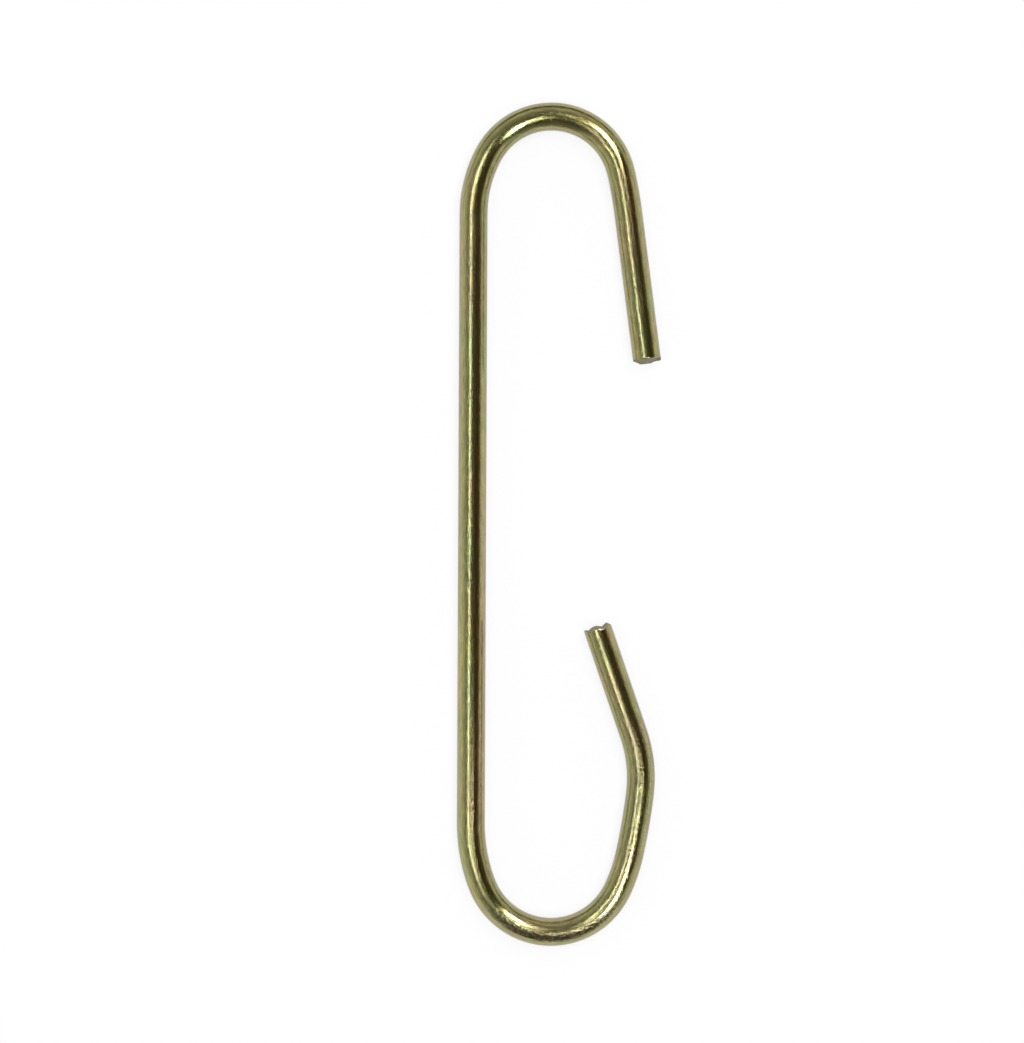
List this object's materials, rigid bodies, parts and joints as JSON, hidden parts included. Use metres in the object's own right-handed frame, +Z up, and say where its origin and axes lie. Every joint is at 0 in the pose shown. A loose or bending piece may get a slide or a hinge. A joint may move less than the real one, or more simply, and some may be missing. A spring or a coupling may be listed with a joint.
{
  "type": "cistern c-link",
  "caption": "Open C-shaped wire link with a hook at each end, which joins a cistern's flush lever to the lift rod of its siphon.",
  "frame": {"origin": "under the middle of the link as it lies flat, on the surface it lies on", "axes": "+X from the straight leg to the open side, +Y along the leg to the upper hook, +Z up from the surface, across the thickness of the wire"},
  "size_m": [0.0216, 0.09, 0.003],
  "materials": {
    "plated_wire": "drawn steel wire, zinc plated and yellow passivated, bright with olive, green and pinkish tints and fine draw lines"
  },
  "bodies": {
    "root": {"c_link": "plated_wire"}
  },
  "joints": []
}
